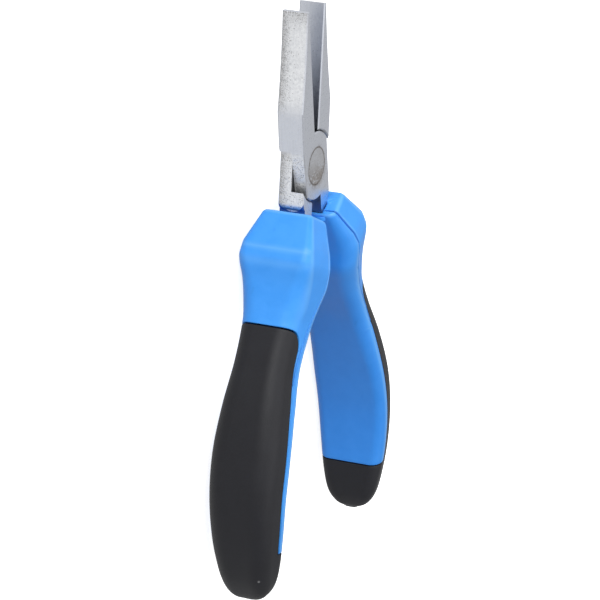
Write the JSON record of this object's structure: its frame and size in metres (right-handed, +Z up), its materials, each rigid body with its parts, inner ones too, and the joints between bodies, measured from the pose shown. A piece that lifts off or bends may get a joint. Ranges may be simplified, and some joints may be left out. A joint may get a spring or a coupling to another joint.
{
  "type": "flat-nose pliers",
  "caption": "Smooth flat-nose hand pliers with a riveted lap joint and bowed two-part grips, lying on their side.",
  "frame": {"origin": "middle of the overall box seen from above, at the lowest point of the grips, with the pliers lying on their side and slightly open", "axes": "+Y from the handles to the jaw tips, +Z up out of the front cheek along the rivet, +X to the handle of the lever whose half of the joint faces up"},
  "size_m": [0.088, 0.1562, 0.0234],
  "materials": {
    "steel": "satin",
    "rivet": "satin",
    "grip_plastic": "satin gloss",
    "grip_rubber": "satin"
  },
  "bodies": {
    "front": {"front_lever": "steel", "front_grip_liner": "grip_plastic", "front_grip_shell": "grip_plastic", "front_grip_pad": "grip_rubber", "pivot_rivet": "rivet"},
    "back": {"back_lever": "steel", "back_grip_liner": "grip_plastic", "back_grip_shell": "grip_plastic", "back_grip_pad": "grip_rubber"}
  },
  "joints": [
    {"name": "pliers_pivot", "type": "hinge", "parent": "front", "child": "back", "pos_m": [0, 0.03458, 0.0117], "axis": [0, 0, 1], "range_deg": [-15, 12.8]}
  ]
}
